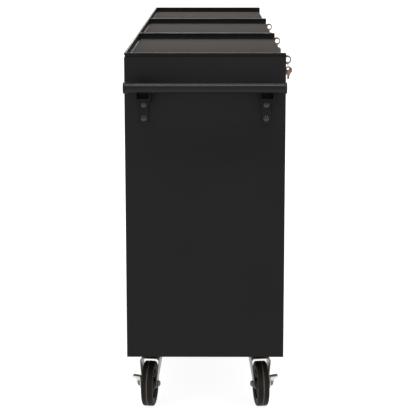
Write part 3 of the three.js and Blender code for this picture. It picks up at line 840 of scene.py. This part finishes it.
# %% Handle brackets and their bolts
tube_x, tube_z = tube_spot.translation.x / MM, tube_spot.translation.z / MM
for end in ("rear", "front"):
    low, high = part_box(f"handle_bracket_{end}")
    panel_x, mid_y, top = high.x / MM, (low.y + high.y) / 2 / MM, high.z / MM
    half, reach, bottom = (high.y - low.y) / 2 / MM, (high.x - low.x) / MM, low.z / MM
    shoulder = bottom + TONGUE
    right_side = [(TONGUE_HALF, bottom), (TONGUE_HALF, shoulder), (half, shoulder), (half, top)]
    left_side = [(-y, z) for y, z in reversed(right_side)]
    plate = stamped([rounded(right_side + left_side, 3)], PLATE, 0.5)
    upright = Matrix(((0, 0, 1, panel_x - PLATE / 2), (1, 0, 0, mid_y), (0, 1, 0, 0), (0, 0, 0, 1)))

    back_x, front_x = tube_x + SEAT_BACK[0], tube_x + SEAT_FRONT[0]
    side_outline = [
        (panel_x - CHEEK_EDGE, top - CHEEK_BACK), (panel_x - CHEEK_EDGE, top), (back_x, top),
        (back_x, tube_z + SEAT_BACK[1]), (front_x, tube_z + SEAT_FRONT[1]),
        (front_x, top - CHEEK_NOSE),
    ]
    cheeks = []
    for side in (-1, 1):
        cheek_y = mid_y + side * (half - CHEEK / 2)
        on_side = Matrix(((1, 0, 0, 0), (0, 0, 1, cheek_y), (0, 1, 0, 0), (0, 0, 0, 1)))
        cheeks.append((stamped([rounded(side_outline, 3)], CHEEK, CHEEK_EDGE), on_side))

    web_run, web_half = reach - WEB_INSET, half - WEB_PLAY
    web_length = math.hypot(web_run, WEB_FALL)
    web_outline = [(0, -web_half), (web_length, -web_half), (web_length, web_half), (0, web_half)]
    web = stamped([rounded(web_outline, 2)], CHEEK, CHEEK_EDGE)
    web_place = (
        Matrix.Translation((panel_x - WEB_INSET, mid_y, top - WEB_TOP))
        @ Matrix.Rotation(math.pi, 4, "Z")
        @ Matrix.Rotation(-math.atan2(WEB_FALL, web_run), 4, "Y")
    )
    bracket = together((plate, upright), *cheeks, (web, web_place))
    show(f"bracket_{end}", bracket, case_paint, "chest", f"handle_bracket_{end}")
    spots = [(panel_x - PLATE, mid_y, tube_z - drop) for drop in BOLT_DROPS]
    heads = bolts(BOLT_ACROSS, BOLT_HEIGHT, spots, (-1, 0, 0), bolt_black)
    show(f"bracket_bolts_{end}", heads, bolt_black, "chest", f"handle_bracket_{end}")
print("bracket", round(2 * half, 1), "mm wide, reaching", round(reach, 1), "mm")

# %% [markdown]
# ## Locks, keys and rings
# A chrome bezel surrounds the plug, and the key stands in it with its bow upright. A small
# split ring, wound by Geometry Nodes as a two-turn coil, carries the spare key below.

# %% Key shapes
BOW_ARC = (math.radians(-58), math.radians(238))  # the rest is taken up by the neck
BLADE_HALF, NECK, NECK_DROP = 3.5, 2.5, 5  # half the blade, what the neck adds, its length
NOTCH_FOOT, NOTCH_PITCH, NOTCH_OPEN, NOTCH_CUT = 4.5, 2.6, 1.8, (1.1, 1.8)


def key_outline(bow_radius, reach, notches):
    """A round bow with a shouldered neck and a notched blade, pointing to -Y from its bow."""
    shoulder, collar, blade = -bow_radius * 0.78, BLADE_HALF + NECK, BLADE_HALF
    start, stop = BOW_ARC
    turns = [start + (stop - start) * i / 40 for i in range(41)]
    bow = [(bow_radius * math.cos(t), bow_radius * math.sin(t)) for t in turns]
    foot = shoulder - NECK_DROP
    neck = [(collar, shoulder - 1), (collar, foot), (blade, foot - 1)]
    left = [(-x, y) for x, y in neck] + [(-blade, -reach + 3)]
    tip = [(-blade + 2.5, -reach), (blade - 2, -reach)]
    right = [(blade, -reach + 3)]
    for i in range(notches):
        low = -reach + NOTCH_FOOT + i * NOTCH_PITCH
        deepest = (blade - NOTCH_CUT[i % 2], low + NOTCH_OPEN / 2)
        right += [(blade, low), deepest, (blade, low + NOTCH_OPEN)]
    return [Vector(p) for p in bow + left + tip + right + neck[::-1]]


print("blades are", 2 * BLADE_HALF, "mm wide")

# %% The split ring's tree
ring_tree, given, ring_sockets = new_tree(
    "split_ring", Radius="Float", Wire="Float", Turns="Float", Rise="Float", Material="Material"
)
coil = put(
    ring_tree,
    "GeometryNodeCurveSpiral",
    {
        "Resolution": 40, "Rotations": given["Turns"], "Start Radius": given["Radius"],
        "End Radius": given["Radius"], "Height": given["Rise"],
    },
)
wire = put(
    ring_tree, "GeometryNodeCurvePrimitiveCircle", {"Resolution": 10, "Radius": given["Wire"]}
)
wound = put(
    ring_tree,
    "GeometryNodeCurveToMesh",
    {"Curve": coil.outputs[0], "Profile Curve": wire.outputs[0], "Fill Caps": True},
)
end_tree(ring_tree, wound.outputs[0], given["Material"])
print("split ring tree ready")

# %% Where the bows and the ring are
# distances in millimetres: out from the fascia, up from the lock's axis, and radius
BOW, BOW_EYE = (32.0, 0.0, 14.0), (35.0, 0.0, 7.5)
SPARE, SPARE_EYE, SPARE_REACH = (37.0, -33.0, 12.0), (36.0, -28.1, 3.6), 28
LINK, LINK_WIRE, LINK_RISE = (36.0, -15.7, 9.5), 0.5, 0.8
KEY_SHEET, KEY_EDGE, KEY_STANDS_OFF = 2.2, 0.35, 2


def key_blank(centre, eye, reach, notches, edgewise):
    """A flat key whose bow and eye are at (out, up, radius), and its matrix to the lock's axes."""
    (out, up, radius), (eye_out, eye_up, eye_radius) = centre, eye
    hole = (eye_up - up, eye_out - out) if edgewise else (out - eye_out, eye_up - up)
    outlines = [key_outline(radius, reach, notches), circle(eye_radius, hole, 36)]
    flat = stamped(outlines, KEY_SHEET, KEY_EDGE)
    if edgewise:  # the blade points into the lock
        return flat, Matrix(((0, 0, 1, 0), (0, -1, 0, -out), (1, 0, 0, up), (0, 0, 0, 1)))
    return flat, Matrix(((0, 0, 1, 0), (1, 0, 0, -out), (0, 1, 0, up), (0, 0, 0, 1)))


print("bows", BOW[0], "mm out from the fascia")

# %% Bezel, key, ring and spare key in each lock
PLUG, PLUG_EDGE, BARREL, BEZEL = 6.2, 5.6, 9.5, 12  # radii
BEZEL_DEPTH, BARREL_DEPTH, PLUG_DEPTH = 2.5, 22, 24.5
CAM, CAM_SHEET, CAM_DEPTH = [(-4, -5), (10, -5), (10, 5), (-4, 5)], 2.6, 26
bezel_profile = [
    (6.5, -2.0), (6.9, -BEZEL_DEPTH), (9.6, -BEZEL_DEPTH), (11.2, -2.1), (BEZEL, -1.2),
    (BEZEL, -0.3), (BARREL, -0.3), (BARREL, BARREL_DEPTH), (6.5, BARREL_DEPTH),
]
plug_profile = [(0, -2.2), (PLUG_EDGE, -2.2), (PLUG, -1.7), (PLUG, PLUG_DEPTH), (0, PLUG_DEPTH)]
for cabinet in CABINETS:
    low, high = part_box(f"lock_barrel_{cabinet}")
    face_y = low.y / MM + BEZEL_DEPTH
    axis_x, axis_z = (low.x + high.x) / 2 / MM, (low.z + high.z) / 2 / MM
    spot = Matrix.Translation(Vector((axis_x, face_y, axis_z)) * MM)
    show(
        f"bezel_{cabinet}", lathe(bezel_profile), chrome_plate, "chest",
        f"lock_barrel_{cabinet}", place=spot @ ALONG_Y,
    )

    cam_place = Matrix.Translation((0, CAM_DEPTH, 0)) @ Matrix.Rotation(math.pi / 2, 4, "X")
    key = together(
        (lathe(plug_profile, 48, closed=False), ALONG_Y),
        (stamped([rounded(CAM, 2)], CAM_SHEET, 0.3), cam_place),
        key_blank(BOW, BOW_EYE, BOW[0] - KEY_STANDS_OFF, 3, edgewise=True),
    )
    show(
        f"turning_key_{cabinet}", key, key_plate, f"key_{cabinet}", f"key_{cabinet}", place=spot
    )

    coil_mesh = grown(
        ring_tree, ring_sockets,
        Radius=LINK[2], Wire=LINK_WIRE, Turns=2.0, Rise=LINK_RISE, Material=key_plate,
    )
    coil_mesh.transform(Matrix.Translation((0, 0, -LINK_RISE / 2)))
    hanging = together(
        (opened(coil_mesh), Matrix.Translation((0, -LINK[0], LINK[1])) @ ALONG_Y),
        key_blank(SPARE, SPARE_EYE, SPARE_REACH, 5, edgewise=False),
    )
    show(
        f"ring_and_spare_{cabinet}", hanging, key_plate, f"key_ring_{cabinet}",
        f"key_ring_{cabinet}", place=spot,
    )
print("keys", round(axis_z), "mm above the floor")

# %% [markdown]
# ## Casters
# A caster is a stamped yoke on a ball race, a wheel on an axle bolt, and a brake lever. The
# four at the ends swivel and trail, toed in a little, and the middle pair is fixed. Each is
# built in its own coordinates, in millimetres, with the swivel axis as Z and the floor at 0.

# %% Where each caster stands
WHEEL_RADIUS, WHEEL_HALF, TRAIL, TOE = 63.5, 31.75 / 2, 37.0, math.radians(7)
ROWS = {"rear": 1, "front": -1}
CASTERS = [(end, row) for end in CABINETS for row in ROWS]


def trail_of(end):
    """How far a caster's axle is behind its swivel axis."""
    return 0.0 if end == "middle" else TRAIL


def caster_place(end, row):
    """The matrix from a caster's own coordinates to the chest's, both in metres."""
    side = ROWS[row]
    toe = 0.0 if end == "middle" else -side * TOE
    low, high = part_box(f"caster_wheel_{end}_{row}")
    hub = (low + high) / 2
    turned = Matrix.Rotation(toe, 4, "Z") @ Matrix.Scale(side, 4, (0, 1, 0))
    to_swivel = Matrix.Translation(Vector((trail_of(end) * MM, 0, -hub.z)))
    return Matrix.Translation(hub) @ turned @ to_swivel


print(len(CASTERS), "casters on wheels", 2 * WHEEL_RADIUS, "mm across")

# %% [markdown]
# ### Yoke
# The real yoke is one pressed strip: it runs up one leg, bends over the crown and goes down
# the other leg. It is built as rows across that strip, thickened, and its edges softened.

# %% The rows of the pressed strip
LEG, EYE, BEND, SPLAY = 2.5, 12.0, 8.0, math.radians(6)
LEG_GAP, CROWN_Z = 2.5, 137.2
CROWN_REAR, CROWN_AHEAD = 32, 28  # the crown's ends, either side of the swivel axis
LEG_AT_AXLE = WHEEL_HALF + LEG_GAP + LEG / 2
EYE_STEPS, LEG_STEPS, BEND_STEPS, ACROSS = 9, 7, 8, 8


def leg_edge(corner_x, side, trail):
    """One edge of a leg, as (x, z): round the axle's eye, then straight to the crown."""
    dx, dz = corner_x + trail, CROWN_Z - WHEEL_RADIUS
    touch = math.atan2(dz, dx) + side * math.acos(EYE / math.hypot(dx, dz))
    start = -math.pi / 2
    sweep = (touch - start) if side < 0 else (touch - 2 * math.pi - start)
    curve = [start + sweep * (0.06 + 0.94 * i / EYE_STEPS) for i in range(EYE_STEPS + 1)]
    around = [(-trail + EYE * math.cos(a), WHEEL_RADIUS + EYE * math.sin(a)) for a in curve]
    x0, z0 = around[-1]
    bend_z = CROWN_Z - BEND * (1 + math.sin(SPLAY))
    heights = [z0 + (bend_z - z0) * i / LEG_STEPS for i in range(1, LEG_STEPS + 1)]
    return around + [(x0 + (corner_x - x0) * (z - z0) / (CROWN_Z - z0), z) for z in heights]


def leg_rows(trail):
    """Rows up one leg and over its bend; each is the strip's two edges, as (x, y, z)."""
    rear, ahead = -trail * 0.25 - CROWN_REAR, CROWN_AHEAD - trail * 0.1
    edges = zip(leg_edge(rear, 1, trail), leg_edge(ahead, -1, trail))
    rows = [
        [(x, LEG_AT_AXLE + (z - WHEEL_RADIUS) * math.tan(SPLAY), z) for x, z in pair]
        for pair in edges
    ]
    (rear_x, bend_y, bend_z), (ahead_x, _, _) = rows[-1]
    for i in range(1, BEND_STEPS + 1):
        share = i / BEND_STEPS
        angle = (math.pi / 2 + SPLAY) * share - SPLAY
        y = bend_y + BEND * (math.cos(angle) - math.cos(SPLAY))
        z = bend_z + BEND * (math.sin(angle) + math.sin(SPLAY))
        rows.append([
            (rear_x * (1 - share) + rear * share, y, z),
            (ahead_x * (1 - share) + ahead * share, y, z),
        ])
    return rows


print(len(leg_rows(TRAIL)), "rows in a leg and its bend")


# %% The strip with its thickness
def yoke(trail):
    """The strip over both legs and the crown, thickened, as a bmesh in millimetres."""
    up = leg_rows(trail)
    down = [[(x, -y, z) for x, y, z in row] for row in reversed(up)]
    built = bmesh.new()
    grid = [
        [built.verts.new(Vector(a).lerp(Vector(b), i / ACROSS)) for i in range(ACROSS + 1)]
        for a, b in up + down
    ]
    for row, following in zip(grid, grid[1:]):
        for i in range(ACROSS):
            built.faces.new((row[i], row[i + 1], following[i + 1], following[i]))
    bmesh.ops.recalc_face_normals(built, faces=built.faces)
    strip = stood("strip", as_mesh("strip", built))
    wall = strip.modifiers.new("wall", "SOLIDIFY")
    wall.thickness, wall.offset = LEG, 0
    edge = strip.modifiers.new("edge", "BEVEL")
    edge.width, edge.segments = 0.5, 2
    edge.limit_method, edge.angle_limit = "ANGLE", math.radians(50)
    return opened(settled(strip))


print("leg", LEG, "mm thick, splayed", round(math.degrees(SPLAY)), "degrees")

# %% Yokes with their race, kingpin nut and axle
RACE = [
    (0, 138.3), (24, 138.3), (28, 139.4), (31, 142), (31, 145.2), (30.2, 146.6), (28, 147),
    (0, 147),
]
KINGPIN = [(0, 146), (7, 146), (7, 159.5), (0, 159.5)]
AXLE = [(0, -30), (5, -30), (5.5, -29.5), (5.5, 34.5), (5, 35), (0, 35)]
AXLE_WASHER = [(5.6, -21.1), (10.5, -21.1), (10.5, -20.2), (5.6, -20.2)]
AXLE_NUTS = ((8.2, 7.0, -24.6), (8.2, 5.5, 30.2))  # corner radius, thickness and middle
KING_NUT = (9.5, 5, 133.4)
NUT_EDGE = 0.7


def nut(radius, thickness, middle):
    """A hexagon across Z and its matrix."""
    blank = stamped([circle(radius, steps=6)], thickness, NUT_EDGE)
    return blank, Matrix.Translation((0, 0, middle))


for end, row in CASTERS:
    trail = trail_of(end)
    axle_place = Matrix.Translation((-trail, 0, WHEEL_RADIUS)) @ ALONG_Y
    axle_nuts = [(blank, axle_place @ spot) for blank, spot in (nut(*size) for size in AXLE_NUTS)]
    fork = together(
        (yoke(trail), Matrix()),
        (lathe(RACE, closed=False), Matrix()),
        (lathe(KINGPIN, 32, closed=False), Matrix()),
        nut(*KING_NUT),
        (lathe(AXLE, 40, closed=False), axle_place),
        *axle_nuts,
        (lathe(AXLE_WASHER, 36), axle_place),
    )
    node = f"caster_fork_{end}_{row}"
    show(
        f"yoke_{end}_{row}", fork, zinc_plate_painted_shade, body_of[node], node,
        place=caster_place(end, row), crease=40,
    )
print(len(CASTERS), "yokes")

# %% [markdown]
# ### Wheels
# A wheel is a solid rubber tyre on a plastic centre. The tyre is turned from a profile with
# round shoulders and a thin flash line. The centre's ribs repeat, so Geometry Nodes set them
# round the hub.

# %% Tyre profile
SHOULDER, FLASH, FLASH_HALF = 5.0, 0.35, 1.1
TREAD = WHEEL_RADIUS - FLASH
arc = [math.radians(a) for a in range(0, 91, 10)]
flash = [(WHEEL_RADIUS, FLASH_HALF), (TREAD, FLASH_HALF + 0.5)]
shoulder = [
    (TREAD - SHOULDER * (1 - math.cos(a)), WHEEL_HALF - SHOULDER * (1 - math.sin(a)))
    for a in arc
]
side_wall = [(56.3, 0.0), (50, 0.3), (47.2, 1.2), (46, 2.4)]  # radius, and how far it is sunk
upper = flash + shoulder + [(radius, WHEEL_HALF - sunk) for radius, sunk in side_wall]
tyre_profile = [(r, -y) for r, y in reversed(upper)] + upper
print("tread", round(2 * WHEEL_HALF, 2), "mm wide")

# %% The hub's ribs
spoke_tree, given, spoke_sockets = new_tree(
    "hub_ribs", Count="Int", Middle="Float", Size="Vector", Material="Material"
)
ring_points = put(
    spoke_tree, "GeometryNodeMeshCircle", {"Vertices": given["Count"], "Radius": given["Middle"]}
)
rib = put(spoke_tree, "GeometryNodeMeshCube", {"Size": given["Size"]})
outwards = put(
    spoke_tree,
    "FunctionNodeAlignRotationToVector",
    {"Vector": put(spoke_tree, "GeometryNodeInputPosition").outputs[0]},
    axis="X",
)
spokes = put(
    spoke_tree,
    "GeometryNodeInstanceOnPoints",
    {"Points": ring_points.outputs[0], "Instance": rib.outputs[0], "Rotation": outwards.outputs[0]},
)
end_tree(spoke_tree, spokes.outputs[0], given["Material"])

hub_half = [
    (46.2, 13.4), (45, 13.8), (43.6, 13.2), (42.6, 6), (41, 4.2), (21, 4.2), (17, 6.5),
    (16, 15), (14.8, 16.3), (5.9, 16.5),
]
hub_profile = [(r, -y) for r, y in reversed(hub_half)] + hub_half
print("hub from", hub_half[-1][0], "to", hub_half[0][0], "mm in radius")

# %% Tyre, hub and bearing covers on each axle
SPOKES, SPOKE_MIDDLE, SPOKE_SIZE = 10, 30.0, (28.0, 3.2, 21.0)
COVER = [(5.9, 16.2), (12.8, 16.2), (12.8, 16.9), (11.8, 17.4), (5.9, 17.4)]
for end, row in CASTERS:
    place, node = caster_place(end, row), f"caster_wheel_{end}_{row}"
    axle_place = Matrix.Translation((-trail_of(end), 0, WHEEL_RADIUS)) @ ALONG_Y
    tyre = lathe(tyre_profile, 120)
    for face in tyre.faces:
        middle = face.calc_center_median()
        on_tread = math.hypot(middle.x, middle.y) > TREAD - 0.2
        # Faces on the flash ridge take the paler finish, a painted highlight.
        face.material_index = 1 if on_tread and abs(middle.z) < FLASH_HALF + 0.4 else 0
    tyre.transform(axle_place)
    show(
        f"tyre_{end}_{row}", tyre, [tyre_rubber, flash_line_highlight], body_of[node], node, place=place
    )
    spoke_mesh = grown(
        spoke_tree, spoke_sockets,
        Count=SPOKES, Middle=SPOKE_MIDDLE, Size=SPOKE_SIZE, Material=hub_plastic,
    )
    hub = lathe(hub_profile, 96)
    hub.from_mesh(spoke_mesh)
    bpy.data.meshes.remove(spoke_mesh)
    show(
        f"hub_{end}_{row}", together((hub, axle_place)), hub_plastic, body_of[node], node,
        place=place,
    )
    covers = together(
        (lathe(COVER, 48), axle_place),
        (lathe(COVER, 48), axle_place @ Matrix.Rotation(math.pi, 4, "X")),
    )
    show(
        f"bearing_{end}_{row}", covers, zinc_plate_painted_shade, body_of[node], node, place=place, slot="zinc"
    )
print(len(CASTERS), "wheels with", SPOKES, "ribs each")

# %% [markdown]
# ### Brake levers and plate bolts
# The brake's rocker is a stamped lever with two foot tabs. Its copy is softened like the
# sheet parts. A zinc-plated plate joins each caster to its crossmember. Four bolts hold it,
# and they repeat, so the tree places them.

# %% Brake levers
LEVER_EDGE = 0.55
for end, row in CASTERS:
    if end != "middle":
        softened(f"brake_lever_{end}_{row}", LEVER_EDGE, lever_zinc)
print("four brake levers")

# %% Caster plates and their bolts
SEAT_Z, PLATE_SHEET = 158.0, 3.4
PLATE_HALF_X, PLATE_HALF_Y, PLATE_CORNER, PLATE_HOLE = 47.0, 54.0, 8, 34
BOLT_X, BOLT_Y, PLATE_BOLT = 37, 43, (13, 4)
for end in CABINETS:
    spots, plates = [], []
    for row in ROWS:
        swivel = caster_place(end, row).translation / MM
        for x, y in rectangle(BOLT_X, BOLT_Y):
            spots.append((swivel.x + x, swivel.y + y, SEAT_Z - PLATE_SHEET))
        outline = rounded(rectangle(PLATE_HALF_X, PLATE_HALF_Y), PLATE_CORNER)
        plates.append((
            stamped([outline, circle(PLATE_HOLE)], PLATE_SHEET, 0.5),
            Matrix.Translation((swivel.x, swivel.y, SEAT_Z - PLATE_SHEET / 2)),
        ))
    show(f"caster_plates_{end}", together(*plates), zinc_plate_painted_shade, "chest", slot="zinc")
    heads = bolts(*PLATE_BOLT, spots, (0, 0, -1), zinc_plate_painted_shade)
    show(f"plate_bolts_{end}", heads, zinc_plate_painted_shade, "chest", slot="zinc")
print(len(spots), "bolts on each crossmember")
